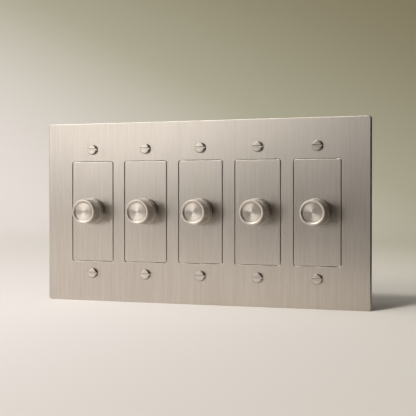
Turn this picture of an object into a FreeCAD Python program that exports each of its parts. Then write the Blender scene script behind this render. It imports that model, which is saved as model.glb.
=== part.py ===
# Five-gang rotary dimmer switch: a brushed steel wall plate with five inserts, and behind each insert a
# push-on, push-off rotary dimmer on its own yoke.
#
# X points right, Z up and Y into the wall, so the front faces -Y. The wall surface is Y = 0, and the origin
# lies on it, on the middle knob's axis. Lengths are in millimetres and angles in degrees.
import FreeCAD, Part
import math
import os

V = FreeCAD.Vector
ALONG_X = V(1, 0, 0)
ALONG_Y = V(0, 1, 0)
TINY = 1e-6

# Layout of the gangs
GANGS = 5
GANG_PITCH = 46.04

# Wall plate: a flat face with a rim behind it that stands on the wall
PLATE_WIDTH = 263.56
PLATE_HEIGHT = 143.0
PLATE_DEPTH = 5.0
FACE_THICKNESS = 2.5
RIM_THICKNESS = 2.5
PLATE_CORNER = 2.0
PLATE_EDGE = 0.6
PLATE_DROP = 0.55
OPENING_EDGE = 0.25

# Inserts, flush with the plate in its openings
INSERT_WIDTH = 35.7
INSERT_HEIGHT = 79.8
INSERT_CORNER = 1.6
INSERT_EDGE = 0.5
INSERT_GAP = 0.4

# Slotted plate screws
SCREW_SPACING = 99.45
SCREW_HEAD_RADIUS = 4.0
SCREW_HEAD_HEIGHT = 2.3
SCREW_HEAD_EDGE = 0.4
SCREW_SLOT_WIDTH = 1.2
SCREW_SLOT_DEPTH = 1.1
SCREW_RADIUS = 1.7
SCREW_CLEARANCE = 0.3
SCREW_TAPPED_CLEARANCE = 0.05
SCREW_LENGTH = 9.0

# Knob, dished in front and hollow behind
KNOB_RADIUS = 9.5
KNOB_PROJECTION = 17.7
LIP_EDGE = 0.6
LIP_WIDTH = 1.3
DISH_SLOPE = 1.0
DISH_DEPTH = 1.0
DISH_GROOVE_WIDTH = 0.3
DISH_GROOVE_DEPTH = 0.2
SKIRT_WALL = 1.4
KNOB_END_WALL = 4.5
PUSH_TRAVEL = 1.2
PUSH_CLEARANCE = 0.3

# Collar cup that the knob's skirt slides into
COLLAR_WALL = 0.65
COLLAR_HEIGHT = 3.6
COLLAR_WEB = 1.0
COLLAR_EDGE = 0.25
COLLAR_GAP = 0.3

# Bushing, washer and nut that clamp collar, insert and yoke to the control
BUSHING_RADIUS = 4.5
BUSHING_CLEARANCE = 0.15
BUSHING_PROUD = 0.4
WASHER_RADIUS = 7.0
WASHER_THICKNESS = 0.6
NUT_ACROSS_FLATS = 12.0
NUT_THICKNESS = 2.0

# Shaft, which turns the wiper and slides through it
SHAFT_RADIUS = 3.0
SHAFT_FLAT = 1.0
SHAFT_RUNNING = 0.06
KNOB_FIT = 0.03
TAIL_FLAT = 0.75
TAIL_FIT = 0.06
TAIL_REACH = 4.0
TAIL_CLEARANCE = 0.25
FLANGE_RADIUS = 4.2
FLANGE_THICKNESS = 1.0
END_PLAY = 0.15

# Control: a case with the wiper in it and the push switch behind it
CASE_WIDTH = 17.0
CASE_FRONT_WALL = 1.5
CASE_SIDE_WALL = 1.5
LOCATING_TAB_WIDTH = 2.4
LOCATING_TAB_HEIGHT = 1.2
LOCATING_TAB_INSET = 1.0
LOCATING_TAB_FIT = 0.1
WIPER_THICKNESS = 3.0
WIPER_HUB_RADIUS = 4.4
WIPER_HUB_LENGTH = 2.0
WIPER_GAP = 0.3
LUG_REACH = 1.3
LUG_HALF_ANGLE = 18.0
TURN_EACH_WAY = 140.0
STOP_PLAY = 2.0
SWITCH_WIDTH = 16.0
SWITCH_DEPTH = 11.0

# Circuit board with its soldered choke, capacitor and triac
BOARD_THICKNESS = 1.6
BOARD_CLEARANCE = 0.6
CHOKE_BORE = 3.0
CHOKE_DEPTH = 7.0
CAPACITOR_WIDTH = 12.0
CAPACITOR_HEIGHT = 6.5
CAPACITOR_DEPTH = 10.0
TRIAC_WIDTH = 10.0
TRIAC_HEIGHT = 4.5
TRIAC_DEPTH = 15.0
PART_GAP = 1.0

# Yoke, the strap that carries one dimmer
YOKE_THICKNESS = 1.5
YOKE_SPACING = 2.04
YOKE_BODY_HEIGHT = 72.0
YOKE_CORNER = 2.5
EAR_WIDTH = 28.0
EAR_END = 4.6
BOX_HOLE_SPACING = 83.34
BOX_HOLE_RADIUS = 2.1

# Moulded housing behind the yoke
HOUSING_WIDTH = 34.0
HOUSING_HEIGHT = 66.0
HOUSING_DEPTH = 30.0
HOUSING_WALL = 1.6
HOUSING_CORNER = 2.0
HOUSING_EDGE = 1.0
BOSS_RADIUS = 4.0
BOSS_INSET = 4.4
POST_WIDTH = 3.0
POST_HEIGHT = 8.0
POST_SPACING = 34.0
HOUSING_SCREW_RADIUS = 1.5
HOUSING_SCREW_CLEARANCE = 0.2
HOUSING_SCREW_HEAD_RADIUS = 2.75
HOUSING_SCREW_HEAD_HEIGHT = 1.8
HOUSING_SCREW_RECESS = 2.2
HOUSING_SCREW_SLOT_WIDTH = 0.9
HOUSING_SCREW_SLOT_DEPTH = 0.8

# Wire terminals on the housing's side and the ground screw on the yoke
TERMINAL_SPACING = 28.0
TERMINAL_DEPTH_IN = 6.5
TERMINAL_SIZE = 9.0
TERMINAL_THICKNESS = 1.0
TERMINAL_SCREW_RADIUS = 1.7
TERMINAL_SCREW_LENGTH = 5.0
TERMINAL_HEAD_RADIUS = 3.4
TERMINAL_HEAD_HEIGHT = 1.9
TERMINAL_SLOT_WIDTH = 0.9
TERMINAL_SLOT_DEPTH = 0.8
BARRIER_THICKNESS = 1.4
BARRIER_CLEARANCE = 0.3
BARRIER_REACH = 3.2
BARRIER_DEPTH = 13.0
GROUND_SCREW_X = 9.0
GROUND_SCREW_DROP = 3.5

# Places worked out from the sizes above, front to back
GANG_CENTRES = [(gang - (GANGS - 1) / 2) * GANG_PITCH for gang in range(GANGS)]
WALL = 0.0
PLATE_FRONT = WALL - PLATE_DEPTH
FACE_BACK = PLATE_FRONT + FACE_THICKNESS
YOKE_FRONT = WALL - YOKE_THICKNESS
WEB_FRONT = PLATE_FRONT - COLLAR_WEB
WASHER_FRONT = WEB_FRONT - WASHER_THICKNESS
NUT_FRONT = WASHER_FRONT - NUT_THICKNESS
BUSHING_FRONT = NUT_FRONT - BUSHING_PROUD
KNOB_FRONT = PLATE_FRONT - KNOB_PROJECTION
KNOB_BACK = WEB_FRONT - PUSH_TRAVEL - PUSH_CLEARANCE
POCKET_FLOOR = BUSHING_FRONT - PUSH_TRAVEL - PUSH_CLEARANCE
SHAFT_FRONT = KNOB_FRONT + KNOB_END_WALL
CAVITY_FRONT = WALL + CASE_FRONT_WALL
FLANGE_FRONT = CAVITY_FRONT + END_PLAY
FLANGE_BACK = FLANGE_FRONT + FLANGE_THICKNESS
WIPER_FRONT = FLANGE_BACK + PUSH_TRAVEL + END_PLAY
WIPER_BACK = WIPER_FRONT + WIPER_THICKNESS
HUB_BACK = WIPER_BACK + WIPER_HUB_LENGTH
CASE_BACK = HUB_BACK + END_PLAY
SWITCH_BACK = CASE_BACK + SWITCH_DEPTH
SHAFT_BACK = CASE_BACK + TAIL_REACH
SWITCH_BORE_END = SHAFT_BACK + PUSH_TRAVEL + PUSH_CLEARANCE
BOARD_BACK = SWITCH_BACK + BOARD_THICKNESS
HOUSING_BACK = WALL + HOUSING_DEPTH
HOUSING_FLOOR = HOUSING_BACK - HOUSING_WALL
CAVITY_RADIUS = CASE_WIDTH / 2 - CASE_SIDE_WALL
LIP_RADIUS = KNOB_RADIUS - LIP_WIDTH
DISH_RADIUS = LIP_RADIUS - DISH_SLOPE
COLLAR_BORE = KNOB_RADIUS + COLLAR_GAP
COLLAR_RADIUS = COLLAR_BORE + COLLAR_WALL
LUG_RADIUS = CAVITY_RADIUS - WIPER_GAP
WIPER_RADIUS = LUG_RADIUS - LUG_REACH
STOP_HALF_ANGLE = 180.0 - TURN_EACH_WAY - STOP_PLAY - LUG_HALF_ANGLE
BOSS_Z = HOUSING_HEIGHT / 2 - BOSS_INSET
BOARD_WIDTH = HOUSING_WIDTH - 2 * (HOUSING_WALL + BOARD_CLEARANCE)
BOARD_HEIGHT = 2 * (BOSS_Z - BOSS_RADIUS - BOARD_CLEARANCE)
LOCATING_TAB_Z = (CASE_WIDTH - LOCATING_TAB_HEIGHT) / 2 - LOCATING_TAB_INSET
TERMINAL_Y = WALL + TERMINAL_DEPTH_IN
TERMINAL_X = HOUSING_WIDTH / 2 + TERMINAL_THICKNESS
GROUND_SCREW_Z = -HOUSING_HEIGHT / 2 - TERMINAL_HEAD_RADIUS - GROUND_SCREW_DROP


def rod(radius, front, back, x=0.0, z=0.0):
    """A cylinder along Y, from its front to its back."""
    return Part.makeCylinder(radius, back - front, V(x, front, z), ALONG_Y)


def block(width, height, front, back, x=0.0, z=0.0):
    """A box centred on (x, z), from its front to its back."""
    return Part.makeBox(width, back - front, height, V(x - width / 2, front, z - height / 2))


def rounded_block(width, height, corner, front, back, x=0.0, z=0.0):
    """A block whose four edges along Y are rounded."""
    shape = block(width, height, front, back, x, z)
    edges = [e for e in shape.Edges if abs(e.tangentAt(e.FirstParameter).y) > 1 - TINY]
    return shape.makeFillet(corner, edges)


def edges_at(shape, y, x=0.0, half_width=math.inf):
    """The edges in the plane at y that lie within half_width of x."""
    found = []
    for edge in shape.Edges:
        box = edge.BoundBox
        flat = abs(box.YMin - y) < TINY and abs(box.YMax - y) < TINY
        near = box.XMin > x - half_width - TINY and box.XMax < x + half_width + TINY
        if flat and near:
            found.append(edge)
    return found


def turned(profile):
    """A solid turned about the Y axis, from the (radius, depth) corners of half its section."""
    corners = [V(radius, depth, 0) for radius, depth in profile]
    section = Part.Face(Part.makePolygon(corners + corners[:1]))
    return section.revolve(V(0, 0, 0), ALONG_Y, 360)


def sector(inner, outer, middle, half_angle, front, back):
    """A block between two radii, half an angle each side of a direction counted from +Z towards +X."""
    def at(radius, angle):
        turn = math.radians(angle)
        return V(radius * math.sin(turn), front, radius * math.cos(turn))

    start = middle - half_angle
    end = middle + half_angle
    outline = Part.Wire([
        Part.Arc(at(outer, start), at(outer, middle), at(outer, end)).toShape(),
        Part.LineSegment(at(outer, end), at(inner, end)).toShape(),
        Part.Arc(at(inner, end), at(inner, middle), at(inner, start)).toShape(),
        Part.LineSegment(at(inner, start), at(outer, start)).toShape(),
    ])
    return Part.Face(outline).extrude(V(0, back - front, 0))


def flatted_rod(radius, front, back, flats):
    """A rod with a flat on it at each signed distance along X."""
    shape = rod(radius, front, back)
    for distance in flats:
        cut = block(2 * radius, 2 * radius, front, back, distance + math.copysign(radius, distance))
        shape = shape.cut(cut)
    return shape


def moved(shape, x=0.0, y=0.0, z=0.0):
    """A copy of a shape, shifted."""
    copy = shape.copy()
    copy.translate(V(x, y, z))
    return copy


def wall_plate():
    """The face plate: rounded outside edge, rim behind, an opening and two screw holes for each gang."""
    plate = rounded_block(PLATE_WIDTH, PLATE_HEIGHT, PLATE_CORNER, PLATE_FRONT, WALL, 0, -PLATE_DROP)
    plate = plate.makeFillet(PLATE_EDGE, edges_at(plate, PLATE_FRONT))
    inner_width = PLATE_WIDTH - 2 * RIM_THICKNESS
    inner_height = PLATE_HEIGHT - 2 * RIM_THICKNESS
    plate = plate.cut(block(inner_width, inner_height, FACE_BACK, WALL, 0, -PLATE_DROP))
    width = INSERT_WIDTH + 2 * INSERT_GAP
    height = INSERT_HEIGHT + 2 * INSERT_GAP
    for x in GANG_CENTRES:
        plate = plate.cut(rounded_block(width, height, INSERT_CORNER + INSERT_GAP, PLATE_FRONT, FACE_BACK, x))
        plate = plate.makeFillet(OPENING_EDGE, edges_at(plate, PLATE_FRONT, x, width / 2))
        for z in (-SCREW_SPACING / 2, SCREW_SPACING / 2):
            plate = plate.cut(rod(SCREW_RADIUS + SCREW_CLEARANCE, PLATE_FRONT, FACE_BACK, x, z))
    return plate


def insert():
    """The plate around one knob, with a bushing hole, seated on the yoke."""
    shape = rounded_block(INSERT_WIDTH, INSERT_HEIGHT, INSERT_CORNER, PLATE_FRONT, YOKE_FRONT)
    shape = shape.makeFillet(INSERT_EDGE, edges_at(shape, PLATE_FRONT))
    return shape.cut(rod(BUSHING_RADIUS + BUSHING_CLEARANCE, PLATE_FRONT, YOKE_FRONT))


def plate_screw():
    """A slotted cheese-head screw, its head on the plate's face and its end through the yoke."""
    head_front = PLATE_FRONT - SCREW_HEAD_HEIGHT
    screw = turned([
        (0, head_front),
        (SCREW_HEAD_RADIUS, head_front),
        (SCREW_HEAD_RADIUS, PLATE_FRONT),
        (SCREW_RADIUS, PLATE_FRONT),
        (SCREW_RADIUS, PLATE_FRONT + SCREW_LENGTH),
        (0, PLATE_FRONT + SCREW_LENGTH),
    ])
    screw = screw.makeFillet(SCREW_HEAD_EDGE, edges_at(screw, head_front))
    slot = block(2 * SCREW_HEAD_RADIUS, SCREW_SLOT_WIDTH, head_front, head_front + SCREW_SLOT_DEPTH)
    return screw.cut(slot)


def knob():
    """The turned knob: a disc sunk in a rounded lip, and a pocket behind that clears the nut and bushing."""
    pocket_radius = KNOB_RADIUS - SKIRT_WALL
    dish_floor = KNOB_FRONT + DISH_DEPTH
    body = turned([
        (0, dish_floor),
        (DISH_RADIUS - DISH_GROOVE_WIDTH, dish_floor),
        (DISH_RADIUS - DISH_GROOVE_WIDTH / 2, dish_floor + DISH_GROOVE_DEPTH),
        (DISH_RADIUS, dish_floor),
        (LIP_RADIUS, KNOB_FRONT),
        (KNOB_RADIUS, KNOB_FRONT),
        (KNOB_RADIUS, KNOB_BACK),
        (pocket_radius, KNOB_BACK),
        (pocket_radius, POCKET_FLOOR),
        (0, POCKET_FLOOR),
    ])
    body = body.makeFillet(LIP_EDGE, edges_at(body, KNOB_FRONT))
    bore_radius = SHAFT_RADIUS + KNOB_FIT
    flat = SHAFT_RADIUS - SHAFT_FLAT + KNOB_FIT
    return body.cut(flatted_rod(bore_radius, SHAFT_FRONT, POCKET_FLOOR, [flat]))


def collar():
    """The cup on the insert: a web clamped under the washer and a ring around the knob's skirt."""
    front = PLATE_FRONT - COLLAR_HEIGHT
    hole = BUSHING_RADIUS + BUSHING_CLEARANCE
    cup = turned([
        (hole, WEB_FRONT),
        (COLLAR_BORE, WEB_FRONT),
        (COLLAR_BORE, front),
        (COLLAR_RADIUS, front),
        (COLLAR_RADIUS, PLATE_FRONT),
        (hole, PLATE_FRONT),
    ])
    return cup.makeFillet(COLLAR_EDGE, edges_at(cup, front))


def bushing_washer():
    """The flat washer under the nut."""
    shape = rod(WASHER_RADIUS, WASHER_FRONT, WEB_FRONT)
    return shape.cut(rod(BUSHING_RADIUS + BUSHING_CLEARANCE, WASHER_FRONT, WEB_FRONT))


def bushing_nut():
    """The thin hexagon nut on the bushing."""
    corner = NUT_ACROSS_FLATS / 2 / math.cos(math.pi / 6)
    turns = [math.radians(60 * side) for side in range(7)]
    outline = Part.makePolygon([V(corner * math.cos(t), NUT_FRONT, corner * math.sin(t)) for t in turns])
    shape = Part.Face(outline).extrude(V(0, NUT_THICKNESS, 0))
    return shape.cut(rod(BUSHING_RADIUS, NUT_FRONT, WASHER_FRONT))


def shaft():
    """The spindle: a flat for the knob, a flange that keeps it in the case and a two-flat tail."""
    flat = SHAFT_RADIUS - SHAFT_FLAT
    tail = SHAFT_RADIUS - TAIL_FLAT
    shape = flatted_rod(SHAFT_RADIUS, SHAFT_FRONT, POCKET_FLOOR, [flat])
    shape = shape.fuse(rod(SHAFT_RADIUS, POCKET_FLOOR, FLANGE_FRONT))
    shape = shape.fuse(rod(FLANGE_RADIUS, FLANGE_FRONT, FLANGE_BACK))
    shape = shape.fuse(flatted_rod(SHAFT_RADIUS, FLANGE_BACK, SHAFT_BACK, [-tail, tail]))
    return shape.removeSplitter()


def control_case():
    """The control's case and bushing, a tab that stops it turning in the yoke, and a stop for the wiper."""
    shape = block(CASE_WIDTH, CASE_WIDTH, WALL, CASE_BACK)
    shape = shape.cut(rod(CAVITY_RADIUS, CAVITY_FRONT, CASE_BACK))
    shape = shape.fuse(rod(BUSHING_RADIUS, BUSHING_FRONT, WALL))
    shape = shape.fuse(block(LOCATING_TAB_WIDTH, LOCATING_TAB_HEIGHT, YOKE_FRONT, WALL, 0, LOCATING_TAB_Z))
    stop_inner = WIPER_RADIUS + WIPER_GAP
    stop = sector(stop_inner, CAVITY_RADIUS + WIPER_GAP, 180, STOP_HALF_ANGLE, CAVITY_FRONT, WIPER_BACK)
    shape = shape.fuse(stop)
    shape = shape.cut(rod(SHAFT_RADIUS + SHAFT_RUNNING, BUSHING_FRONT, CAVITY_FRONT))
    return shape.removeSplitter()


def wiper():
    """The wiper carrier: a disc with a stop lug and a hub, on the shaft's two-flat tail."""
    tail = SHAFT_RADIUS - TAIL_FLAT + TAIL_FIT
    shape = rod(WIPER_RADIUS, WIPER_FRONT, WIPER_BACK)
    inside = WIPER_RADIUS - LUG_REACH
    shape = shape.fuse(sector(inside, LUG_RADIUS, 0, LUG_HALF_ANGLE, WIPER_FRONT, WIPER_BACK))
    shape = shape.fuse(rod(WIPER_HUB_RADIUS, WIPER_BACK, HUB_BACK))
    shape = shape.cut(flatted_rod(SHAFT_RADIUS + TAIL_FIT, WIPER_FRONT, HUB_BACK, [-tail, tail]))
    return shape.removeSplitter()


def switch_block():
    """The sealed push switch behind the case, with a bore for the shaft's tail."""
    shape = block(SWITCH_WIDTH, SWITCH_WIDTH, CASE_BACK, SWITCH_BACK)
    return shape.cut(rod(SHAFT_RADIUS + TAIL_CLEARANCE, CASE_BACK, SWITCH_BORE_END))


def circuit_board():
    """The board on the switch's back: the choke above the control, capacitor and triac side by side below."""
    shape = block(BOARD_WIDTH, BOARD_HEIGHT, SWITCH_BACK, BOARD_BACK)
    choke_z = (BOARD_HEIGHT + CASE_WIDTH) / 4
    choke_radius = (BOARD_HEIGHT - CASE_WIDTH) / 4 - PART_GAP
    choke = rod(choke_radius, SWITCH_BACK - CHOKE_DEPTH, SWITCH_BACK, 0, choke_z)
    choke = choke.cut(rod(CHOKE_BORE, SWITCH_BACK - CHOKE_DEPTH, SWITCH_BACK, 0, choke_z))
    capacitor_x = (CAPACITOR_WIDTH + PART_GAP) / 2
    capacitor_z = -(CASE_WIDTH + CAPACITOR_HEIGHT) / 2 - PART_GAP
    capacitor = block(CAPACITOR_WIDTH, CAPACITOR_HEIGHT, SWITCH_BACK - CAPACITOR_DEPTH, SWITCH_BACK,
                      capacitor_x, capacitor_z)
    triac_x = -(TRIAC_WIDTH + PART_GAP) / 2
    triac_z = -(CASE_WIDTH + TRIAC_HEIGHT) / 2 - PART_GAP
    triac = block(TRIAC_WIDTH, TRIAC_HEIGHT, SWITCH_BACK - TRIAC_DEPTH, SWITCH_BACK, triac_x, triac_z)
    return shape.fuse([choke, capacitor, triac]).removeSplitter()


def yoke():
    """The strap: a broad body, an ear at each end, and holes for every screw, the bushing and its tab."""
    length = SCREW_SPACING + 2 * EAR_END
    body_width = GANG_PITCH - YOKE_SPACING
    shape = rounded_block(body_width, YOKE_BODY_HEIGHT, YOKE_CORNER, YOKE_FRONT, WALL)
    shape = shape.fuse(rounded_block(EAR_WIDTH, length, YOKE_CORNER, YOKE_FRONT, WALL)).removeSplitter()
    tab_slot = block(LOCATING_TAB_WIDTH + 2 * LOCATING_TAB_FIT, LOCATING_TAB_HEIGHT + 2 * LOCATING_TAB_FIT,
                     YOKE_FRONT, WALL, 0, LOCATING_TAB_Z)
    holes = [rod(BUSHING_RADIUS + BUSHING_CLEARANCE, YOKE_FRONT, WALL), tab_slot]
    for side in (-1, 1):
        for radius, z in (
            (SCREW_RADIUS + SCREW_TAPPED_CLEARANCE, SCREW_SPACING / 2),
            (BOX_HOLE_RADIUS, BOX_HOLE_SPACING / 2),
            (HOUSING_SCREW_RADIUS + SCREW_TAPPED_CLEARANCE, BOSS_Z),
        ):
            holes.append(rod(radius, YOKE_FRONT, WALL, 0, side * z))
    ground_radius = TERMINAL_SCREW_RADIUS + SCREW_TAPPED_CLEARANCE
    holes.append(rod(ground_radius, YOKE_FRONT, WALL, GROUND_SCREW_X, GROUND_SCREW_Z))
    return shape.cut(Part.makeCompound(holes))


def terminal_hole(radius, start, end, z):
    """A cylinder along X through the housing's side at one terminal."""
    return Part.makeCylinder(radius, end - start, V(start, TERMINAL_Y, z), ALONG_X)


def barriers():
    """The insulating ribs above and below each terminal, which keep the wires apart."""
    width = HOUSING_WALL + BARRIER_REACH
    x = HOUSING_WIDTH / 2 - HOUSING_WALL + width / 2
    step = (TERMINAL_SIZE + BARRIER_THICKNESS) / 2 + BARRIER_CLEARANCE
    heights = [side * TERMINAL_SPACING / 2 + edge * step for side in (-1, 1) for edge in (-1, 1)]
    return [block(width, BARRIER_THICKNESS, WALL, WALL + BARRIER_DEPTH, x, z) for z in heights]


def housing():
    """The moulded case: open to the yoke, with screw bosses, board posts, terminal holes and barriers."""
    outside = rounded_block(HOUSING_WIDTH, HOUSING_HEIGHT, HOUSING_CORNER, WALL, HOUSING_BACK)
    outside = outside.makeChamfer(HOUSING_EDGE, edges_at(outside, HOUSING_BACK))
    inner_width = HOUSING_WIDTH - 2 * HOUSING_WALL
    inner_height = HOUSING_HEIGHT - 2 * HOUSING_WALL
    shape = outside.cut(block(inner_width, inner_height, WALL, HOUSING_FLOOR)).fuse(barriers())
    for side in (-1, 1):
        boss = rod(BOSS_RADIUS, WALL, HOUSING_FLOOR, 0, side * BOSS_Z).common(outside)
        posts = [
            block(POST_WIDTH, POST_HEIGHT, BOARD_BACK, HOUSING_FLOOR,
                  edge * (inner_width - POST_WIDTH) / 2, side * POST_SPACING / 2)
            for edge in (-1, 1)
        ]
        shape = shape.fuse([boss] + posts)
    for side in (-1, 1):
        bore = HOUSING_SCREW_RADIUS + HOUSING_SCREW_CLEARANCE
        recess = HOUSING_SCREW_HEAD_RADIUS + HOUSING_SCREW_CLEARANCE
        shape = shape.cut(rod(bore, WALL, HOUSING_BACK, 0, side * BOSS_Z))
        shape = shape.cut(rod(recess, HOUSING_BACK - HOUSING_SCREW_RECESS, HOUSING_BACK, 0, side * BOSS_Z))
        hole_radius = TERMINAL_SCREW_RADIUS + SCREW_TAPPED_CLEARANCE
        shape = shape.cut(terminal_hole(hole_radius, inner_width / 2 - TINY, HOUSING_WIDTH / 2,
                                        side * TERMINAL_SPACING / 2))
    return shape.removeSplitter()


def housing_screw(z):
    """A long slotted screw from the housing's back into the yoke."""
    seat = HOUSING_BACK - HOUSING_SCREW_RECESS
    top = seat + HOUSING_SCREW_HEAD_HEIGHT
    screw = rod(HOUSING_SCREW_RADIUS, YOKE_FRONT, seat, 0, z)
    screw = screw.fuse(rod(HOUSING_SCREW_HEAD_RADIUS, seat, top, 0, z))
    slot_floor = top - HOUSING_SCREW_SLOT_DEPTH
    return screw.cut(block(2 * HOUSING_SCREW_HEAD_RADIUS, HOUSING_SCREW_SLOT_WIDTH, slot_floor, top, 0, z))


def terminal_plate(z):
    """The brass plate that a wire is clamped to."""
    low_x = HOUSING_WIDTH / 2
    size = TERMINAL_SIZE
    plate = Part.makeBox(TERMINAL_THICKNESS, size, size, V(low_x, TERMINAL_Y - size / 2, z - size / 2))
    return plate.cut(terminal_hole(TERMINAL_SCREW_RADIUS + SCREW_TAPPED_CLEARANCE, low_x, TERMINAL_X, z))


def binding_screw(length):
    """A slotted screw along Y, its head's under-side at the origin and its shank reaching forward."""
    screw = rod(TERMINAL_HEAD_RADIUS, 0, TERMINAL_HEAD_HEIGHT).fuse(rod(TERMINAL_SCREW_RADIUS, -length, 0))
    slot_floor = TERMINAL_HEAD_HEIGHT - TERMINAL_SLOT_DEPTH
    return screw.cut(block(2 * TERMINAL_HEAD_RADIUS, TERMINAL_SLOT_WIDTH, slot_floor, TERMINAL_HEAD_HEIGHT))


def terminal_screw(z):
    """A wire-binding screw on a terminal plate, its shank through the housing's side."""
    screw = binding_screw(TERMINAL_SCREW_LENGTH)
    screw.rotate(V(0, 0, 0), V(0, 0, 1), -90)
    return moved(screw, TERMINAL_X, TERMINAL_Y, z)


def ground_screw():
    """The ground screw behind the yoke's lower ear."""
    return moved(binding_screw(YOKE_THICKNESS), GROUND_SCREW_X, WALL, GROUND_SCREW_Z)


def export(name, shape):
    """Writes one sub-part."""
    shape.exportStep(f"parts/{name}.step")


def at_every_gang(shapes):
    """The same loose pieces repeated at each gang, as one group of solids."""
    return Part.makeCompound([moved(shape, x) for x in GANG_CENTRES for shape in shapes])


def main():
    os.makedirs("parts", exist_ok=True)
    ends = (-1, 1)
    export("wall_plate", wall_plate())
    export("plate_screws", at_every_gang([moved(plate_screw(), z=end * SCREW_SPACING / 2) for end in ends]))
    export("bushing_washers", at_every_gang([bushing_washer()]))
    export("bushing_nuts", at_every_gang([bushing_nut()]))
    export("housing_screws", at_every_gang([housing_screw(end * BOSS_Z) for end in ends]))
    export("terminal_plates", at_every_gang([terminal_plate(end * TERMINAL_SPACING / 2) for end in ends]))
    export("terminal_screws", at_every_gang([terminal_screw(end * TERMINAL_SPACING / 2) for end in ends]))
    export("ground_screws", at_every_gang([ground_screw()]))
    makers = (insert, collar, knob, shaft, wiper, control_case, switch_block, circuit_board, yoke, housing)
    for maker in makers:
        shape = maker()
        for number, x in enumerate(GANG_CENTRES, start=1):
            export(f"{maker.__name__}_{number}", moved(shape, x))


main()
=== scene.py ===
# %% [markdown]
# # A five-gang rotary dimmer in brushed steel
# The solids come in as a fixed frame: every piece is in metres, the front faces -Y, Z is up and the wall
# is the plane Y = 0. Nothing from the frame is moved. This lesson gives the solids their finishes,
# replaces the plain knobs and screws by cut ones, and lights the whole as the photograph does.

# %% Load the frame
import math

import bmesh
import bpy
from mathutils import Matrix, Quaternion, Vector


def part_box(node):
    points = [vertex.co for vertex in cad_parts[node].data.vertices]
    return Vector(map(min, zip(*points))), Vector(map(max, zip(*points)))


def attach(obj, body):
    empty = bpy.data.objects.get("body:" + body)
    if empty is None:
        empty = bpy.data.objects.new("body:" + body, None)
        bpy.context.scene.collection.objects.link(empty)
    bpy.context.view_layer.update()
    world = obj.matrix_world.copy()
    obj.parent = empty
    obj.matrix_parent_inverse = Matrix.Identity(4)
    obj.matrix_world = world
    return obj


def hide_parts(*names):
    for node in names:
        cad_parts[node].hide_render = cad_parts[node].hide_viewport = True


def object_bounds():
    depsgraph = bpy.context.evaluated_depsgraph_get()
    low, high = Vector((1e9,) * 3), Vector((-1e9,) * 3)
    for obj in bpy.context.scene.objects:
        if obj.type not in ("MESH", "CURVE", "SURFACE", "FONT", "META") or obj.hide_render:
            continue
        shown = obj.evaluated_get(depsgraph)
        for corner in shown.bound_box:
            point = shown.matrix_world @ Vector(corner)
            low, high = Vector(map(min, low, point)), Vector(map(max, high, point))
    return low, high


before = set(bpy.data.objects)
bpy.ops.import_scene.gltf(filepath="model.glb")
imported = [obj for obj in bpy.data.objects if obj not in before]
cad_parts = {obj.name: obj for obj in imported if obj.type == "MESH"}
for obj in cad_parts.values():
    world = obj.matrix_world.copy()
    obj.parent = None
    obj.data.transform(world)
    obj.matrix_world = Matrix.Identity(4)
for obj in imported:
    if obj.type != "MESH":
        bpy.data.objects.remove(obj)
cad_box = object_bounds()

MM = 0.001
GANGS = range(1, 6)
print("nodes in the frame:", len(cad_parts))

# %% [markdown]
# ## Arithmetic on sockets
# A shader is a small calculation that runs at every point of a surface. Wiring each sum by hand hides what
# is meant, so one class wraps an output socket and lets Python's operators add the Math nodes. Any other
# node comes from its one method, which takes the type, the settings and then the values or links of the
# inputs.

# %% A socket that can be calculated with
class Socket:
    """An output socket of a node tree, for use in Python expressions."""

    def __init__(self, tree, socket=None):
        self.tree = tree
        self.socket = socket

    def node(self, kind, settings=None, inputs=None, output=0):
        """Adds a node, sets it up, fills or links its inputs and returns one of its outputs."""
        made = self.tree.nodes.new("ShaderNode" + kind)
        for name, value in (settings or {}).items():
            if name == "stops":
                elements = made.color_ramp.elements
                while len(elements) < len(value):
                    elements.new(1.0)
                for element, (position, colour) in zip(elements, value):
                    element.position = position
                    element.color = colour
            else:
                setattr(made, name, value)
        for name, value in (inputs or {}).items():
            if isinstance(value, Socket):
                self.tree.links.new(value.socket, made.inputs[name])
            else:
                made.inputs[name].default_value = value
        return Socket(self.tree, made.outputs[output] if made.outputs else None)

    def math(self, operation, *values):
        """A Math node."""
        return self.node("Math", {"operation": operation}, dict(enumerate(values)))

    def vector(self, operation, *values, output=0):
        """A Vector Math node."""
        return self.node("VectorMath", {"operation": operation}, dict(enumerate(values)), output)

    def __add__(self, other):
        return self.math("ADD", self, other)

    def __sub__(self, other):
        return self.math("SUBTRACT", self, other)

    def __rsub__(self, other):
        return self.math("SUBTRACT", other, self)

    def __mul__(self, other):
        return self.math("MULTIPLY", self, other)

    def __truediv__(self, other):
        return self.math("DIVIDE", self, other)

    def __rtruediv__(self, other):
        return self.math("DIVIDE", other, self)

    __radd__ = __add__
    __rmul__ = __mul__

    def mix(self, low, high):
        """A colour between two others, with this socket as the factor."""
        return self.node("Mix", {"data_type": "RGBA"}, {0: self, 6: low, 7: high}, 2)

    def between(self, start, end):
        """0 below start, 1 above end and a smooth rise between."""
        return self.node("MapRange", {"interpolation_type": "SMOOTHSTEP"},
                         {"Value": self, "From Min": start, "From Max": end})


print("socket class ready")

# %% [markdown]
# ## Places and noise
# All finishes are laid out in the object's own metres, so that a brush line is as wide on the plate as on
# an insert. Each noise says how many waves it has to the metre along X, Y and Z: few waves along Z and
# many along X give a line that stands upright.

# %% Coordinates and noise for the finishes
def start_finish(name):
    """A new material with an empty tree, and a socket to start its expressions from."""
    material = bpy.data.materials.new(name)
    material.use_nodes = True
    material.node_tree.nodes.clear()
    return material, Socket(material.node_tree)


def point(base):
    """The X, Y and Z of a surface point in its object's own metres."""
    place = base.node("TexCoord", output="Object")
    return [base.node("SeparateXYZ", inputs={0: place}, output=axis) for axis in range(3)]


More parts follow.
